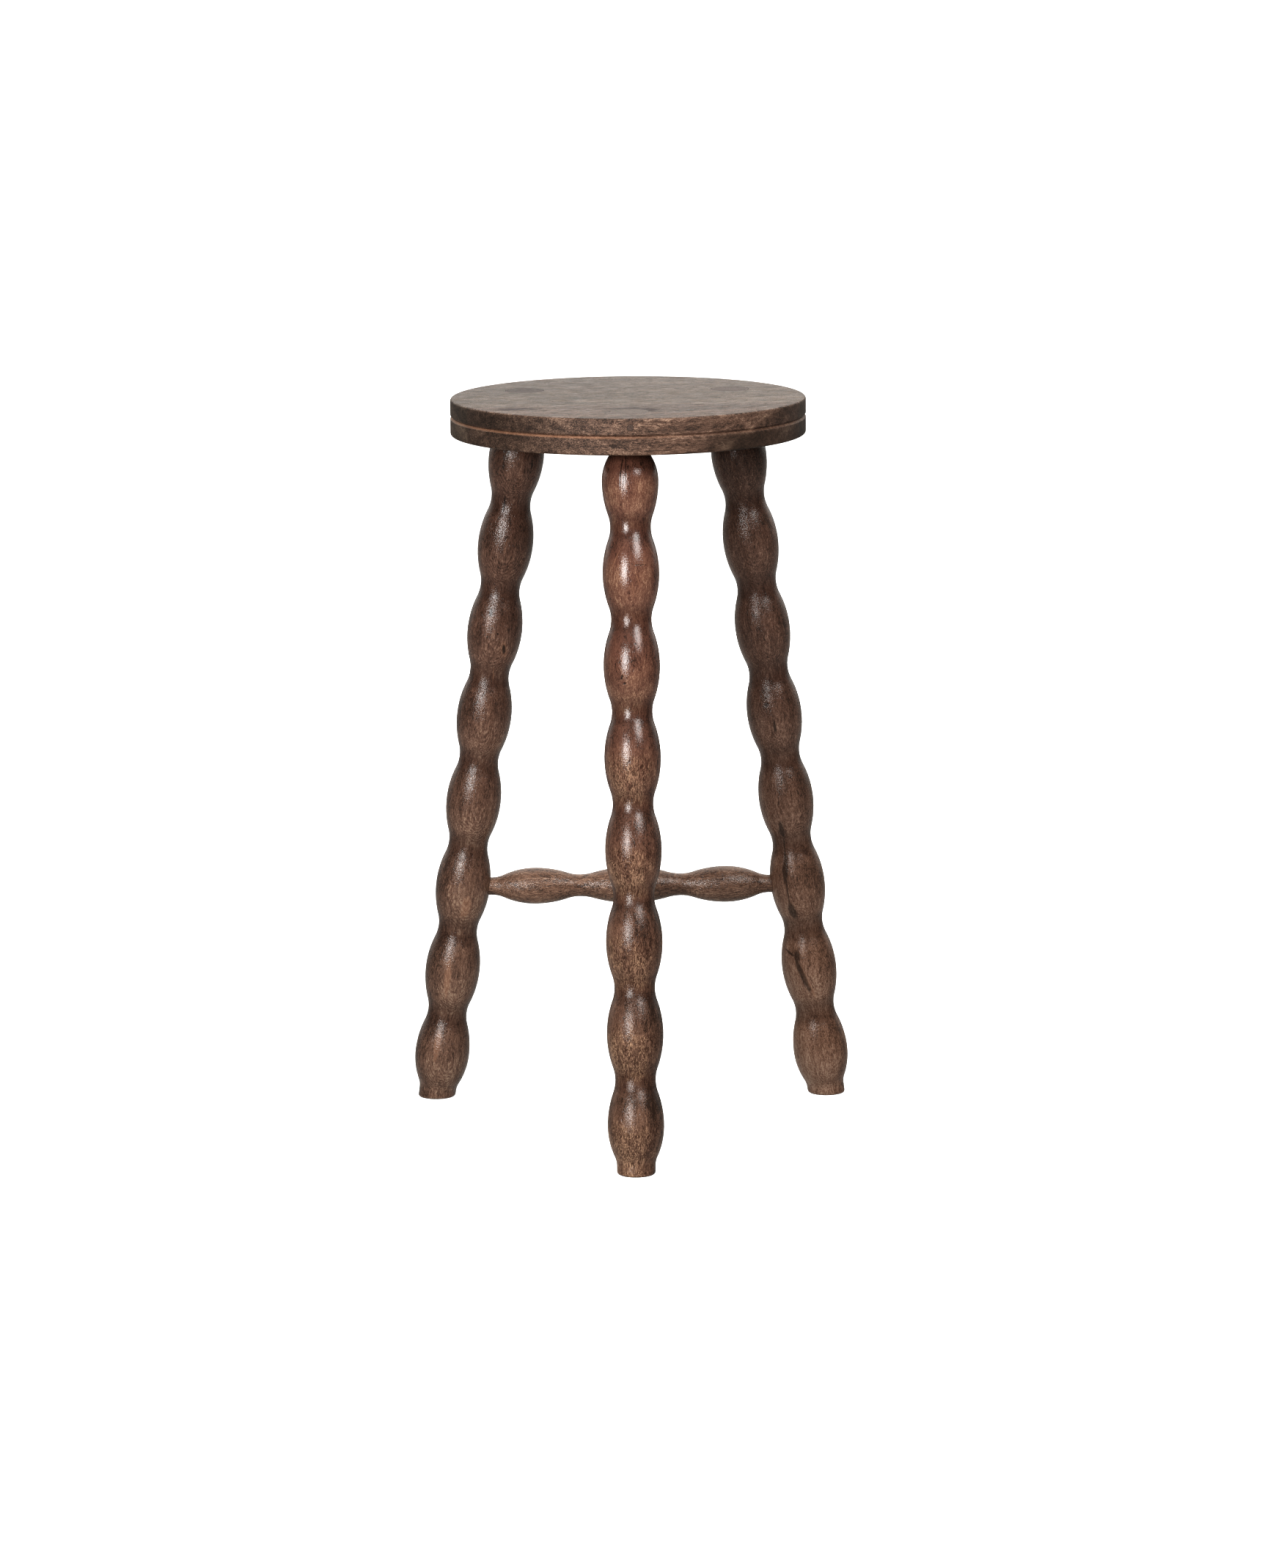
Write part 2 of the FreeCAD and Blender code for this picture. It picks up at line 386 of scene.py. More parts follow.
def marks_on(place, marks, ragged):
    """Streaks and knots on a leg, from 0 to 1."""
    x, y, z = split(place)
    found = None
    for along, around, length, width, slant in marks:
        front, side = direction(around)
        straight, lean = direction(slant)
        lateral = y * front - x * side
        up = z - along
        ahead = (up * straight + lateral * lean) / (length / 2)
        beside = (lateral * straight - up * lean) / (width / 2)
        mark = rise(distance(ahead, beside) + ragged, 1.15, 0.55) * (x * front + y * side > 0.0)
        found = mark if found is None else found.or_more(mark)
    return found


def lathe_spot(tree):
    """Place on the lathe in millimetres, with the turned piece's axis along Z."""
    place = put(tree, "ShaderNodeAttribute", output="Vector", attribute_name="lathe_place")
    return stretch(place, 1 / mm, 1 / mm, 1 / mm)


def shifted(place, along):
    """Places further along the fibres, so that no two pieces show the same stretch of wood."""
    return put(place.tree, "ShaderNodeVectorMath", [place, (0, 0, along)], operation="ADD")


def lacquer(shader, place, pores, gloss, bump):
    """Clear lacquer over the stain, which gives all of the shine and follows the uneven wood."""
    dull = (cloud(place, 0.35, 2.0) - 0.5) * 0.14 + pores * 0.15
    feed(shader, "Roughness", 0.5 + dull)
    shader.inputs["Specular IOR Level"].default_value = 0.0
    shader.inputs["Coat Roughness"].default_value = gloss
    feed(shader, "Normal", bump)
    feed(shader, "Coat Normal", bump)


pith_depth = 60
leg_grain = {"ring_width": 0.66, "rings": 0.35, "silk": 0.12, "streaks": 0.16, "fibre_length": 0.28,
             "pore_size": (1.2, 3.6)}

# A mark is given by its height up the leg, its angle round it, its length, its width and its slant.
# A painted side shade is given by its amount, the offsets where it starts and is full, and its share at the
# top.
leg_looks = {
    "front": {
        "heart": -8,
        "sides": (0, [(-0.2, 2.0, 11.0, 0.0)]),
        "coat_wear": 0.35,
        "shift": 0,
        "fade": (400.0, 60.0),
        "high_tones": [(0.1, tone(54, 39, 33)), (0.42, tone(101, 71, 60)),
                       (0.62, tone(117, 86, 72)), (0.95, tone(152, 122, 102))],
        "low_tones": [(0.1, tone(56, 43, 36)), (0.42, tone(102, 79, 67)),
                      (0.62, tone(122, 97, 82)), (0.95, tone(166, 137, 114))],
        "marks": [(466, -20, 24, 0.9, 3), (468, -10, 22, 0.8, -2), (459, -15, 12, 0.7, 6),
                  (404, 10, 0.9, 1.4, 0), (404.3, 15.5, 0.9, 1.2, 0), (403.8, 20, 0.9, 1.4, 0),
                  (404.2, 25, 0.9, 1.6, 0), (404, 31, 0.8, 1.4, 0), (352, 8, 1.8, 1.8, 0),
                  (330, -22, 4, 1.6, 20), (326, -16, 2, 2, 0), (340, -26, 3, 1, 30)],
        "pale_fibre_and_glint_marks": [(407, -36, 19, 1.0, 24), (388, 3, 14, 0.9, -4), (394, 14, 12, 0.9, -16),
                        (413, 52, 12, 1.0, -38)],
        "end_tone": tone(100, 86, 78),
        "mark_depth": 0.8,
        "peel": (0.35, 0.65),
        "gloss": 0.17,
        "calm": 0.35,
        "wear_light_lift": 0.2,
        "painted_upper_shade": 0.18,
        "dashes": 0.8,
        "ring_lines": 0.06,
        "grain": {"figure": 0.26, "grit": 0.24, "mottle": 0.8, "vessels": 0.08, "pore_share": 0.34},
    },
    "left": {
        "heart": 125,
        "sides": (119.7, [(-0.14, -3.0, -12.0, 1.0)]),
        "coat_wear": 0.15,
        "shift": 700,
        "fade": (400.0, 60.0),
        "high_tones": [(0.1, tone(57, 43, 36)), (0.45, tone(96, 72, 61)),
                       (0.7, tone(118, 92, 79)), (0.95, tone(148, 121, 105))],
        "low_tones": [(0.1, tone(64, 50, 43)), (0.45, tone(107, 84, 72)),
                      (0.7, tone(130, 105, 90)), (0.95, tone(161, 139, 121))],
        "marks": [(353, 105, 6, 3, 0), (328, 145, 8, 2.8, -16), (339, 126, 1.8, 1.8, 0),
                  (429, 101, 12, 1.6, 0)],
        "pale_fibre_and_glint_marks": [(400, 120, 14, 1.0, 4), (310, 130, 12, 0.9, -6), (328, 145, 14, 6, -16),
                        (143, 132, 18, 8, 0), (91, 110, 32, 5, 0), (42, 106, 26, 5, 0)],
        "end_tone": tone(81, 70, 66),
        "mark_depth": 0.8,
        "peel": (0.85, 0.75),
        "gloss": 0.18,
        "calm": 0.1,
        "wear_light_lift": 0.12,
        "painted_upper_shade": 0.07,
        "dashes": 0.15,
        "ring_lines": 0.16,
        "grain": {"figure": 0.3, "grit": 0.22, "mottle": 0.4, "vessels": 0.08, "pore_share": 0.24},
    },
    "right": {
        "heart": -113,
        "sides": (-119.7, [(-0.15, 3.0, 12.0, 0.5), (0.13, -3.0, -12.0, 0.5)]),
        "coat_wear": 0.3,
        "shift": 1500,
        "fade": (330.0, 40.0),
        "high_tones": [(0.1, tone(56, 44, 37)), (0.45, tone(89, 67, 57)),
                       (0.7, tone(110, 87, 75)), (0.95, tone(139, 114, 100))],
        "low_tones": [(0.1, tone(74, 57, 48)), (0.45, tone(117, 91, 76)),
                      (0.7, tone(141, 115, 99)), (0.95, tone(164, 140, 123))],
        "marks": [(271, -123, 11, 2.2, 0), (196.5, -142, 14, 5, -3), (168, -145, 23, 5.4, 5),
                  (167, -145, 60, 1.8, 0), (138, -143, 14, 6, -9), (92.5, -138, 34, 4.4, -17),
                  (105.5, -145, 9, 5, -4), (107.5, -165, 2, 13, 26), (287, -135, 4, 4, 0)],
        # The pale band beside the right leg's low crack is a painted glint.
        "pale_fibre_and_glint_marks": [(86, -128, 30, 3.0, -17)],
        "end_tone": tone(96, 84, 79),
        "mark_depth": 0.68,
        "peel": (0.8, 0.6),
        "gloss": 0.2,
        "calm": 0.1,
        "wear_light_lift": 0.1,
        "painted_upper_shade": 0.06,
        "dashes": 0.1,
        "ring_lines": 0.1,
        "grain": {"figure": 0.3, "grit": 0.28, "mottle": 0.4, "vessels": 0.06, "pore_share": 0.24},
    },
}
bare_dark = tone(30, 22, 18)
neck_dark = tone(52, 33, 26)
dash_dark = tone(56, 37, 29)
fibre_and_glint_pale = tone(160, 122, 98)
end_shades = ((0.2, 0.6), (0.5, 1.0), (0.8, 1.35))
grain_depth = 0.26 * mm
for place, angle in leg_angles.items():
    look = leg_looks[place]
    outward = Vector((*direction(angle), 0))
    axis = (Vector((0, 0, seat_height)) + outward * (leg_radius_top - leg_radius_floor)).normalized()
    wood, tree, shader = new_finish("Stained turned hardwood " + place)
    spot = lathe_spot(tree)
    moved = shifted(spot, look["shift"])
    x, y, z = split(spot)
    thick = distance(x, y)
    low = rise(z, *look["fade"])
    slope = faces_toward(put(tree, "ShaderNodeNewGeometry", output="Normal"), axis)
    upper_side = rise(slope, 0.0, 0.2)
    lower_side = rise(slope, 0.15, -0.05)
    heart_x, heart_y = direction(look["heart"])
    pith = (-pith_depth * heart_x, -pith_depth * heart_y)
    lines = look["ring_lines"] * (0.25 + lower_side * 0.75)
    raw_shade, pores, uneven = hardwood(moved, leg_grain | look["grain"] | {"pith": pith, "lines": lines})

    # Stain, with painted shade on the beads' upper sides, darker in the necks, and lighter low on the leg.
    ragged = cloud(drawn_out(moved, 0.5), 0.2, 3.0, 0.6) - 0.5
    # A lighter patch on the lower sides of the low beads: partly rubbed wear, partly painted light from
    # below.
    heart_side = rise(x * heart_x + y * heart_y + ragged * 8.0, 6.0, 13.5)
    wear_and_under_light = heart_side * rise(slope + ragged * 0.5, 0.14, -0.08) * rise(z, 345.0, 285.0)
    shade = 0.5 + (raw_shade - 0.5) * (1.0 - upper_side * look["calm"])
    # Painted light on the beads' lower sides and painted shade on their upper sides.
    shade = shade + rise(slope, 0.05, -0.22) * 0.06 - rise(slope, 0.0, 0.3) * look["painted_upper_shade"]
    shade = shade + wear_and_under_light * look["wear_light_lift"]
    # Painted shade and painted light on the legs' sides, by the offset across the leg from the side facing
    # the camera.
    middle, painted_side_shades = look["sides"]
    middle_x, middle_y = direction(middle)
    side = y * middle_x - x * middle_y
    for amount, start, full, at_top in painted_side_shades:
        shade = shade + rise(side, start, full) * (at_top + low * (1.0 - at_top)) * amount
    tool_lines = rise(cloud(stretch(spot, 0.06, 0.06, 1), 1.2, 2.0), 0.35, 0.65) - 0.5
    shade = shade + tool_lines * 0.08 * rise(thick, 16.8, 14.0) * low
    # Tones from top to foot; the darker upper tones, most on the rear legs, are partly painted shadow of the
    # seat.
    colour = blend(low, stain_scale(shade, look["high_tones"]), stain_scale(shade, look["low_tones"]))
    in_neck = rise(thick, 16.4, 13.7) * rise(z, 20.0, 45.0)
    colour = blend(in_neck * 0.4, colour, neck_dark)
    colour = blend(pores * 0.2, colour, bare_dark)
    dash = cloud(drawn_out(wander(moved, 0.14, 5.0), 0.1), 2.1, 1.0)
    colour = blend(rise(dash, 0.55, 0.42) * wear_and_under_light * look["dashes"], colour, dash_dark)

    # Cracks, knots, pale fibres and a painted glint, and end grain with a dark edge on the foot and the
    # tenon's end.
    ragged = (cloud(drawn_out(spot, 0.3), 0.5, 2.0) - 0.5) * 0.9
    marks = marks_on(spot, look["marks"], ragged)
    colour = blend(marks_on(spot, look["pale_fibre_and_glint_marks"], ragged) * 0.3, colour, fibre_and_glint_pale)
    colour = blend(marks * look["mark_depth"], colour, bare_dark)
    end = rise(slope.absolute(), 0.6, 0.9)
    end_tones = [(at, tuple(part * share for part in look["end_tone"])) for at, share in end_shades]
    colour = blend(end, colour, stain_scale(raw_shade, end_tones))
    dark_edge = rise(thick, 12.2, 12.8) * 0.3
    colour = blend(end * (pores * 0.25).or_more(dark_edge), colour, bare_dark)
    feed(shader, "Base Color", colour)
    feed(shader, "Coat Weight", (1.0 - end * 0.6) * (1.0 - low * look["coat_wear"]))
    high_peel, low_peel = look["peel"]
    strength = high_peel + low * (low_peel - high_peel)
    relief = {"Strength": strength, "Distance": grain_depth, "Height": uneven - marks * 0.5}
    lacquer(shader, moved, pores, look["gloss"], put(tree, "ShaderNodeBump", relief))

    across = Vector((0, 0, 1)).cross(outward)
    stand = Matrix((across.cross(axis), across, axis)).transposed().to_4x4()
    stand.translation = outward * leg_radius_floor
    leg = take_off_lathe("turned_leg_" + place, leg_rule, leg_sizes | leg_counts, wood, stand)
    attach(leg, "root")
    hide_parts("leg_" + place)

# Rails
# Two turned rails of the same wood make a T: one joins the rear legs, the other runs to the front leg.
# Each has three beads, tapers to a round tenon at both ends, and is glued into its mortises.
rail_sizes = {
    "Bead Radius": 12.6 * mm,
    "Neck Radius": 7.7 * mm,
    "Tenon Radius": 6.2 * mm,
    "Share": leg_sizes["Bead Share"],
}
rail_lengths = ["Neck", "End Bead", "Half", "Low Tip", "High Tip"]
rail_counts = {"Sides": 80}
rail_rings = 260
rail_rule, given = open_rule("Bobbin rail", [*rail_sizes, *rail_lengths], rail_counts)
cylinder, ring, x, y = blank(rail_rule, rail_rings, given["Sides"])
along = (given["High Tip"] + given["Low Tip"]) * (ring / float(rail_rings)) - given["Low Tip"]
off_middle = along.absolute()
bead, neck, share = given["Bead Radius"], given["Neck Radius"], given["Share"]
end_bead = given["End Bead"]
middle_half = wave(rail_rule, off_middle, given["Neck"], bead, neck, share)
inner_half = wave(rail_rule, end_bead - off_middle, end_bead - given["Neck"], bead, neck, share)
end_run = given["Half"] - end_bead
end_half = wave(rail_rule, off_middle - end_bead, end_run, bead, given["Tenon Radius"], share)
outer = (off_middle < end_bead).choose(inner_half, end_half)
radius = (off_middle < given["Neck"]).choose(middle_half, outer)
turn_down(rail_rule, cylinder, radius, x, y, along)

# The rails sit at the legs' third bead, just under its middle, and their tapers end just outside the wood.
low_bead = leg_sizes["Low Bead Rise"]
top_bead = leg_sizes["Shoulder"] - leg_sizes["Top Bead Drop"]
bead_pitch = (top_bead - low_bead) / (leg_counts["Beads"] - 1)
under_bead = 1.1 * mm
rail_height = (low_bead + 2 * bead_pitch) * seat_height / leg_length - under_bead
leg_reach = leg_radius_floor + (leg_radius_top - leg_radius_floor) * rail_height / seat_height
off_leg, off_rail = 1.4 * mm, 0.5 * mm
leg_side = leg_sizes["Bead Radius"] + off_leg
rear_x, rear_y = (leg_reach * part for part in direction(leg_angles["right"]))
rear_half = rear_x - leg_side
front_start = -leg_reach + leg_side
front_end = rear_y - rail_sizes["Bead Radius"] - off_rail
front_half = (front_end - front_start) / 2
leg_tenon, rail_tenon = 19 * mm, 11 * mm
rails = {
    "rear": {
        "sizes": {"Neck": 35.2 * mm, "End Bead": 66 * mm, "Half": rear_half,
                  "Low Tip": rear_half + leg_tenon, "High Tip": rear_half + leg_tenon},
        "run": Vector((1, 0, 0)),
        "middle": Vector((0, rear_y, rail_height)),
        "pith": (30, 30),
        "shift": 2300,
        "dark_end": 0.3,
    },
    "front": {
        "sizes": {"Neck": 29.5 * mm, "End Bead": 56.5 * mm, "Half": front_half,
                  "Low Tip": front_half + leg_tenon, "High Tip": front_half + rail_tenon},
        "run": Vector((0, 1, 0)),
        "middle": Vector((0, (front_start + front_end) / 2, rail_height)),
        "pith": (-34, 22),
        "shift": 3100,
        "dark_end": 0.2,
    },
}
rail_grain = leg_grain | {"lines": 0.08, "mottle": 0.6, "vessels": 0.1, "figure": 0.4, "grit": 0.2,
                          "pore_size": (1.0, 4.0), "pore_share": 0.25}
rail_tones = [(0.05, tone(62, 48, 42)), (0.45, tone(115, 91, 77)),
              (0.7, tone(139, 112, 96)), (0.95, tone(167, 141, 121))]
rail_dark = tone(52, 37, 30)
rail_gloss = 0.2
for place, rail in rails.items():
    wood, tree, shader = new_finish("Stained rail hardwood " + place)
    spot = lathe_spot(tree)
    moved = shifted(spot, rail["shift"])
    shade, pores, uneven = hardwood(moved, rail_grain | {"pith": rail["pith"]})
    toward_dark_end = rise(split(spot)[2], -30.0, 40.0)
    colour = blend(toward_dark_end * rail["dark_end"], stain_scale(shade, rail_tones), rail_dark)
    colour = blend(pores * 0.5, colour, bare_dark)
    feed(shader, "Base Color", colour)
    shader.inputs["Coat Weight"].default_value = 0.9
    relief = {"Strength": 1.0, "Distance": grain_depth, "Height": uneven}
    lacquer(shader, moved, pores, rail_gloss, put(tree, "ShaderNodeBump", relief))
    run = rail["run"]
    up = Vector((0, 0, 1))
    stand = Matrix((up.cross(run).normalized(), run.cross(up.cross(run)), run)).transposed().to_4x4()
    stand.translation = rail["middle"]
    sizes = rail_sizes | rail_counts | rail["sizes"]
    piece = take_off_lathe("turned_rail_" + place, rail_rule, sizes, wood, stand)
    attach(piece, "root")
    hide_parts("rail_" + place)

# Seat
# Three boards of the same hardwood, glued edge to edge with the grain from side to side, then turned round.
# The rim has rounded corners and one V groove.
# Three bored holes take the legs' tenons, and three small ones in the rim take the pegs.
seat_radius = 120 * mm
seat_underside = seat_height - seat_thickness
seat_sides = 256
rim_round = 1.6 * mm
rim_round_steps = 6
groove_height = seat_height - 12.2 * mm
groove_half = 1.3 * mm
groove_depth = 1.3 * mm
groove_ease = 0.2 * mm
glue_gap = 0.1 * mm
board_turn = math.radians(4)
front_joint, rear_joint = -45 * mm, 36 * mm
beyond_rim = seat_radius * 2
joints = {
    "front": (-beyond_rim, front_joint),
    "middle": (front_joint, rear_joint),
    "rear": (rear_joint, beyond_rim),
}
peg_radius = 2.25 * mm
peg_sides = 32
peg_height = seat_height - 6.1 * mm
peg_past_axis = 6 * mm
peg_inner = leg_radius_floor + (leg_radius_top - leg_radius_floor) * peg_height / seat_height - peg_past_axis


def corner_arc(height, way):
    """Rounded corner from the flat face to the rim; way is 1 at the top and -1 at the underside."""
    arc = []
    for step in range(rim_round_steps + 1):
        flat, steep = direction(90 * step / rim_round_steps)
        arc.append((seat_radius - rim_round * (1 - steep), height - way * rim_round * (1 - flat)))
    return arc


rim = [
    (0, seat_underside),
    *corner_arc(seat_underside, -1),
    (seat_radius, groove_height - groove_half - groove_ease),
    (seat_radius - groove_ease, groove_height - groove_half),
    (seat_radius - groove_depth, groove_height),
    (seat_radius - groove_ease, groove_height + groove_half),
    (seat_radius, groove_height + groove_half + groove_ease),
    *corner_arc(seat_height, 1)[::-1],
    (0, seat_height),
]


def solid(name, shape):
    """A closed mesh made in an edit mesh, as an object that can be cut or cut with."""
    mesh = bpy.data.meshes.new(name)
    bmesh.ops.remove_doubles(shape, verts=shape.verts, dist=0.001 * mm)
    bmesh.ops.recalc_face_normals(shape, faces=shape.faces)
    shape.to_mesh(mesh)
    shape.free()
    return set_down(name, mesh)


def drill(name, radius, start, run, sides):
    """Round cutter from a point along a direction, long enough to come out of the seat."""
    shape = bmesh.new()
    length = 120 * mm
    bmesh.ops.create_cone(shape, cap_ends=True, segments=sides, radius1=radius, radius2=radius, depth=length)
    bmesh.ops.translate(shape, verts=shape.verts, vec=(0, 0, length / 2))
    bmesh.ops.transform(shape, matrix=run.to_track_quat("Z", "Y").to_matrix().to_4x4(), verts=shape.verts)
    bmesh.ops.translate(shape, verts=shape.verts, vec=start)
    return solid(name, shape)


def cut(piece, tool, operation):
    """Cuts a solid with a tool, or keeps only what both share."""
    step = piece.modifiers.new(tool.name, "BOOLEAN")
    step.operation = operation
    step.solver = "EXACT"
    step.object = tool


shape = bmesh.new()
chain = [shape.verts.new((radius, 0, height)) for radius, height in rim]
edges = [shape.edges.new(pair) for pair in zip(chain, chain[1:])]
bmesh.ops.spin(shape, geom=chain + edges, cent=(0, 0, 0), axis=(0, 0, 1), angle=2 * math.pi, steps=seat_sides)
seat = solid("Round plank", shape)
drill_lead = 20 * mm
tools = []
for place, angle in leg_angles.items():
    outward = Vector((*direction(angle), 0))
    axis = Vector((0, 0, seat_height)) + outward * (leg_radius_top - leg_radius_floor)
    low = outward * leg_radius_floor + axis * ((seat_underside - drill_lead) / seat_height)
    tools.append(drill("Tenon hole " + place, tenon_radius + glue_gap, low, axis, leg_counts["Sides"]))
    inner = outward * peg_inner + Vector((0, 0, peg_height))
    tools.append(drill("Peg hole " + place, peg_radius + glue_gap, inner, outward, peg_sides))
for tool in tools:
    cut(seat, tool, "DIFFERENCE")

board_grain = {"ring_width": 3.2, "rings": 0.8, "lines": 0.02, "silk": 0.05, "fibre_length": 0.12,
               "vessels": 0.1, "pore_size": (1.1, 6.0), "pore_share": 0.28}
board_looks = {
    "front": {
        "pith": (-60, 440),
        "fibre_turn": 15,
        "tones": [(0.1, tone(56, 45, 39)), (0.45, tone(96, 76, 66)),
                  (0.7, tone(121, 99, 87)), (0.95, tone(156, 133, 117))],
    },
    "middle": {
        "pith": (8, 400),
        "fibre_turn": 3,
        "tones": [(0.1, tone(60, 50, 43)), (0.45, tone(100, 83, 71)),
                  (0.7, tone(122, 104, 91)), (0.95, tone(154, 134, 119))],
    },
    "rear": {
        "pith": (70, 430),
        "fibre_turn": 5,
        "tones": [(0.1, tone(58, 48, 42)), (0.45, tone(95, 79, 69)),
                  (0.7, tone(118, 100, 88)), (0.95, tone(150, 130, 116))],
    },
}
rim_tint = (0.93, 0.91, 0.87, 1)
top_tint = (0.84, 0.87, 0.89, 1)
end_grain_dark = tone(26, 22, 18)
shaded_dark = tone(46, 36, 29)
flank_light_pale = tone(172, 132, 106)

# Stains on the front board's top by place, half length and half width, and a knot low on its rim.
front_stains = [(-77, -63, 18, 11), (3, -71, 19, 14)]
stain_dark = tone(62, 55, 58)
knot_x, knot_z = -11.0, 481.6
knot_half_length, knot_half_width = 3.4, 1.5
knot_dark = tone(44, 32, 27)
rim_at = seat_radius / mm
groove_at = groove_height / mm
for place, (low, high) in joints.items():
    look = board_looks[place]
    wood, tree, shader = new_finish("Plank hardwood " + place)
    seen = put(tree, "ShaderNodeTexCoord", output="Object")
    turn = (0, 0, -math.radians(look["fibre_turn"]))
    turned_to = put(tree, "ShaderNodeMapping", {"Vector": seen, "Rotation": turn, "Scale": (1 / mm,) * 3})
    x, y, z = split(turned_to)
    spot = put(tree, "ShaderNodeCombineXYZ", [y, z, x])
    normal = put(tree, "ShaderNodeNewGeometry", output="Normal")
    top = rise(faces_toward(normal, (0, 0, 1)), 0.5, 0.95)
    calm = rise(x, -25.0, 10.0) * (1.0 - top)
    grain = board_grain | {
        "pith": look["pith"],
        "streaks": 0.18 + top * 0.1,
        "figure": 0.46 + top * 0.16 - calm * 0.16,
        "grit": 0.3 + top * 0.26 - calm * 0.08,
        "mottle": 0.9 - top * 0.1,
    }
    shade, pores, uneven = hardwood(spot, grain)
    colour = blend(pores * (0.32 - top * 0.06), stain_scale(shade, look["tones"]), bare_dark)

    # End grain where the rim cuts across the fibres, a greyer top, and a sheen that varies along the fibres.
    fibre = (*direction(look["fibre_turn"]), 0)
    end_grain = rise(faces_toward(normal, fibre).absolute(), 0.35, 1.0)
    lower_left = rise(x, -30.0, -80.0) * rise(z, groove_at + 1.2, groove_at - 1.8)
    colour = blend(end_grain * (1.0 - top) * (0.62 - lower_left * 0.16), colour, end_grain_dark)
    tint = blend(top, rim_tint, top_tint)
    colour = put(tree, "ShaderNodeVectorMath", [colour, tint], operation="MULTIPLY")
    dull = (cloud(drawn_out(spot, 0.1), 0.75, 2.0) - 0.5) * (0.25 + top * 0.4) + pores * 0.15
    if place == "front":
        across, back, height = split(seen)
        for stain_x, stain_y, half_length, half_width in front_stains:
            off_stain = distance((across / mm - stain_x) / half_length, (back / mm - stain_y) / half_width)
            stain = rise(off_stain + (cloud(spot, 0.15, 3.0) - 0.5) * 1.6, 1.3, 0.1) * top
            colour = blend(stain * 0.75, colour, stain_dark)
            dull = dull + stain * 0.16
        beside_knot = (across / mm - knot_x) / knot_half_length
        over_knot = (height / mm - knot_z) / knot_half_width
        off_knot = distance(beside_knot, over_knot) + (cloud(spot, 0.5, 2.0) - 0.5) * 1.4
        on_front = faces_toward(normal, (0, 1, 0)) < -0.5
        colour = blend(rise(off_knot, 1.2, 0.6) * on_front * 0.85, colour, knot_dark)

    # Shade painted low on the rim's right side, and painted light on the groove's lower flank, which faces
    # up.
    shaded = rise(x, 0.0, 42.0) * rise(z, groove_at + 1.2, groove_at - 3.8) * (1.0 - end_grain * 0.75)
    colour = blend(shaded * 0.72, colour, shaded_dark)
    in_groove = rise(distance(x, y), rim_at - 0.1, rim_at - 0.5)
    flank = rise(z, groove_at - 1.6, groove_at - 1.2) * rise(z, groove_at + 0.6, groove_at - 0.2)
    painted_flank_light = (0.12 + rise(x, 20.0, -70.0) * 0.4) * (0.55 + cloud(spot, 0.5, 2.0) * 0.6)
    colour = blend(in_groove * flank * painted_flank_light, colour, flank_light_pale)
    feed(shader, "Base Color", colour)
    shader.inputs["Specular IOR Level"].default_value = 0.33
    feed(shader, "Roughness", 0.6 - top * 0.18 + dull)
    relief = {"Strength": 1.0, "Distance": (0.14 + top * 0.14) * mm, "Height": uneven}
    feed(shader, "Normal", put(tree, "ShaderNodeBump", relief))

    shape = bmesh.new()
    bmesh.ops.create_cube(shape, size=1)
    bmesh.ops.scale(shape, vec=(2 * beyond_rim, high - low, 2 * seat_thickness), verts=shape.verts)
    bmesh.ops.translate(shape, vec=(0, (high + low) / 2, seat_height - seat_thickness / 2), verts=shape.verts)
    bmesh.ops.rotate(shape, cent=(0, 0, 0), matrix=Matrix.Rotation(board_turn, 3, "Z"), verts=shape.verts)
    strip = solid("Board strip " + place, shape)
    cut(seat, strip, "INTERSECT")
    mesh = as_plain_mesh("seat_plank_" + place, seat)
    seat.modifiers.remove(seat.modifiers[-1])
    bpy.data.objects.remove(strip)
    mesh.materials.clear()
    mesh.materials.append(wood)
    mesh.shade_smooth()
    board_edge = 25
    mesh.set_sharp_from_angle(angle=math.radians(board_edge))
    board = set_down("seat_plank_" + place, mesh)
    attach(board, "root")
    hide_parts("seat_board_" + place)
for tool in [*tools, seat]:
    bpy.data.objects.remove(tool)

# Pegs
# Three small round pegs of hardwood, driven in level through the rim to lock the legs' tenons.
# Each is sawn off and sanded flush, so that its end follows the round of the rim and shows end grain.
wood, tree, shader = new_finish("Peg hardwood")
seen = put(tree, "ShaderNodeTexCoord", output="Object")
speck = cloud(stretch(seen, 1 / mm, 1 / mm, 1 / mm), 1.6, 2.0)
feed(shader, "Base Color", stain_scale(speck, [(0.3, tone(50, 39, 33)), (0.7, tone(92, 73, 63))]))
feed(shader, "Roughness", 0.45 + speck * 0.2)
peg_loops = [("rim", 0.93, 0.02 * mm), ("rim", 1.0, 0.15 * mm), ("inner", 1.0, 0), ("inner", 0.9, 0)]
peg_edge = 30
for place, angle in leg_angles.items():
    outward = Vector((*direction(angle), 0))
    across = Vector((0, 0, 1)).cross(outward)
    shape = bmesh.new()
    loops = []
    for end, girth, below_rim in peg_loops:
        loop = []
        for side in range(peg_sides):
            level_part, upright_part = direction(360 * side / peg_sides)
            beside = peg_radius * girth * level_part
            above = peg_radius * girth * upright_part
            flush = math.sqrt(seat_radius**2 - beside**2) - below_rim
            out = outward * (flush if end == "rim" else peg_inner) + across * beside
            loop.append(shape.verts.new(out + Vector((0, 0, peg_height + above))))
        loops.append(loop)
    for first, second in zip(loops, loops[1:]):
        for side in range(peg_sides):
            ahead = (side + 1) % peg_sides
            shape.faces.new((first[side], first[ahead], second[ahead], second[side]))
    shape.faces.new(loops[0])
    shape.faces.new(loops[-1])
    peg = solid("rim_peg_" + place, shape)
    peg.data.materials.append(wood)
    peg.data.shade_smooth()
    peg.data.set_sharp_from_angle(angle=math.radians(peg_edge))
    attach(peg, "root")
    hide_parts("peg_" + place)

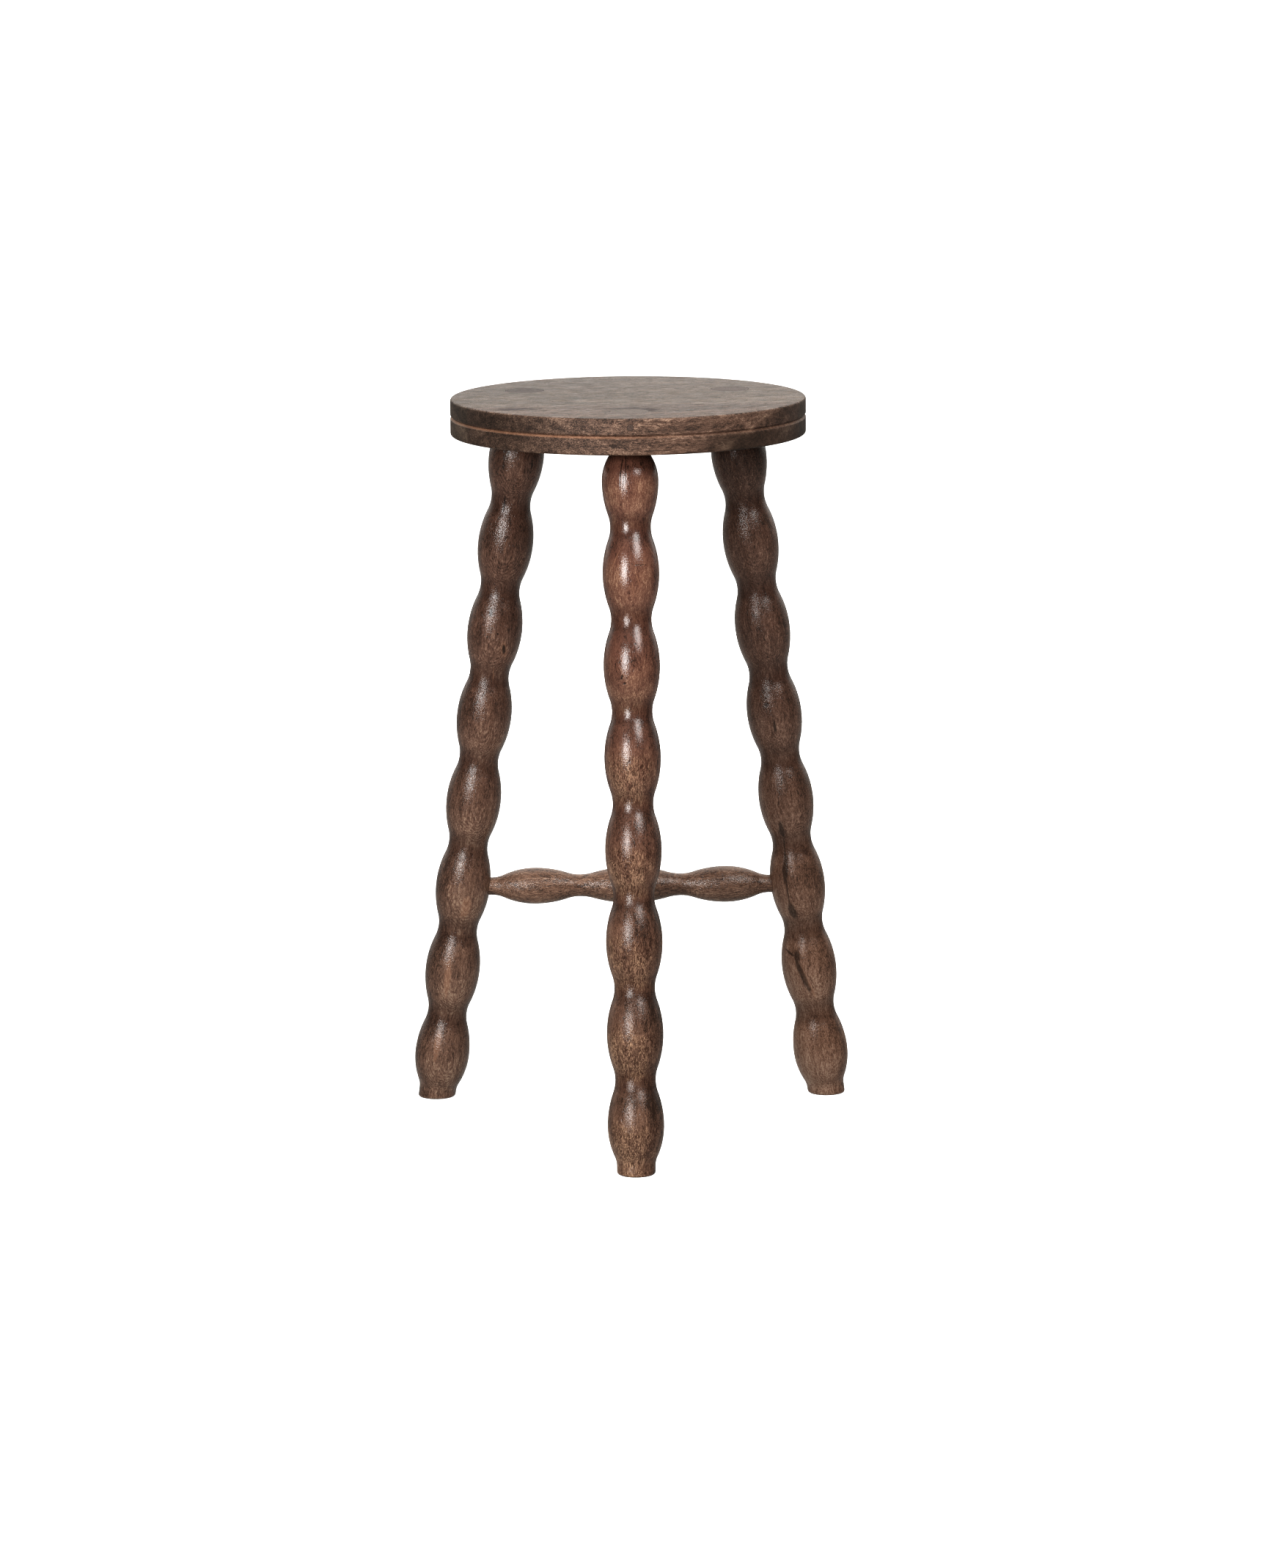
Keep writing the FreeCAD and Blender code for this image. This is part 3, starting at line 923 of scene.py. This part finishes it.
# Studio
# A plain white floor, a soft room, a soft light on the left and a weaker one high on the right.
# Two fills, in front and behind, give no highlights.
# The camera is a long lens at about twice the seat's height, looking a little down as in the photograph.
floor_half = 60.0
floor_corners = [(-floor_half, -floor_half, 0), (floor_half, -floor_half, 0),
                 (floor_half, floor_half, 0), (-floor_half, floor_half, 0)]
floor_mesh = bpy.data.meshes.new("Floor")
floor_mesh.from_pydata(floor_corners, [], [(0, 1, 2, 3)])
floor = set_down("Floor", floor_mesh)
paint, tree, shader = new_finish("White floor")
shader.inputs["Base Color"].default_value = (0.9, 0.9, 0.9, 1)
shader.inputs["Roughness"].default_value = 0.9
shader.inputs["Specular IOR Level"].default_value = 0.1
shader.inputs["Emission Color"].default_value = (1, 1, 1, 1)
shader.inputs["Emission Strength"].default_value = 0.65
floor_mesh.materials.append(paint)
floor.visible_diffuse = False
floor.visible_glossy = False

world = bpy.data.worlds.new("Soft room")
bpy.context.scene.world = world
world.use_nodes = True
room = world.node_tree.nodes["Background"]
toward = put(world.node_tree, "ShaderNodeTexCoord", output="Generated")
toward_y, toward_z = split(toward)[1:]
behind = rise(toward_y, 0.1, 0.8) * rise(toward_z, -0.1, 0.1)
overhead = rise(toward_z, 0.5, 0.95)
below = rise(toward_z, 0.05, -0.5)
floor_glow = rise(toward_y, 0.2, 0.85) * rise(toward_z, -0.02, -0.12)
feed(room, "Strength", 0.1 + behind * 0.85 + overhead * 0.75 + below * 0.25 + floor_glow * 0.16)
room.inputs["Color"].default_value = (1, 0.985, 0.95, 1)
bpy.context.scene.view_settings.view_transform = "Standard"
bpy.context.scene.view_settings.look = "High Contrast"

light_distance = 2.4
lit_height = 0.27


def soft_light(name, turn, height, size, power):
    """Flat soft light, at a turn to the right of the camera and at a height, both in degrees."""
    lamp = bpy.data.lights.new(name, "AREA")
    lamp.shape = "RECTANGLE"
    lamp.size, lamp.size_y = size
    lamp.energy = power
    light = set_down(name, lamp)
    nearer, righter = direction(turn)
    level_part, upright_part = direction(height)
    way = Vector((righter * level_part, -nearer * level_part, upright_part))
    light.location = Vector((0, 0, lit_height)) + way * light_distance
    light.rotation_euler = way.to_track_quat("Z", "Y").to_euler()
    return light


soft_light("Left light", -27, 14, (0.8, 0.9), 34)
soft_light("High right light", 33, 40, (1.0, 1.0), 26)
soft_light("Front fill", 0, 16, (0.8, 0.8), 10).visible_glossy = False
soft_light("Back fill", 180, 12, (1.0, 1.0), 20).visible_glossy = False

camera_turn = -0.6675
camera_yaw, camera_pitch, camera_roll = 0.0509, 10.2948, -0.4144
camera_distance = 4396.7 * mm
camera_height = 1033.1 * mm
yaw_cos, yaw_sin = direction(camera_yaw)
pitch_cos, pitch_sin = direction(camera_pitch)
roll_cos, roll_sin = direction(camera_roll)
forward = Vector((yaw_sin * pitch_cos, yaw_cos * pitch_cos, -pitch_sin))
right = Vector((yaw_cos, -yaw_sin, 0))
above = right.cross(forward)
lens_right = right * roll_cos + above * roll_sin
lens_up = above * roll_cos - right * roll_sin
camera = set_down("Camera", bpy.data.cameras.new("Camera"))
camera.data.sensor_fit = "VERTICAL"
camera.data.sensor_height = 36
camera.data.lens = 150.52
camera.data.clip_end = 200
stand = Matrix((lens_right, lens_up, -forward)).transposed().to_4x4()
stand.translation = (0, -camera_distance, camera_height)
camera.matrix_world = Matrix.Rotation(math.radians(camera_turn), 4, "Z") @ stand
bpy.context.scene.camera = camera
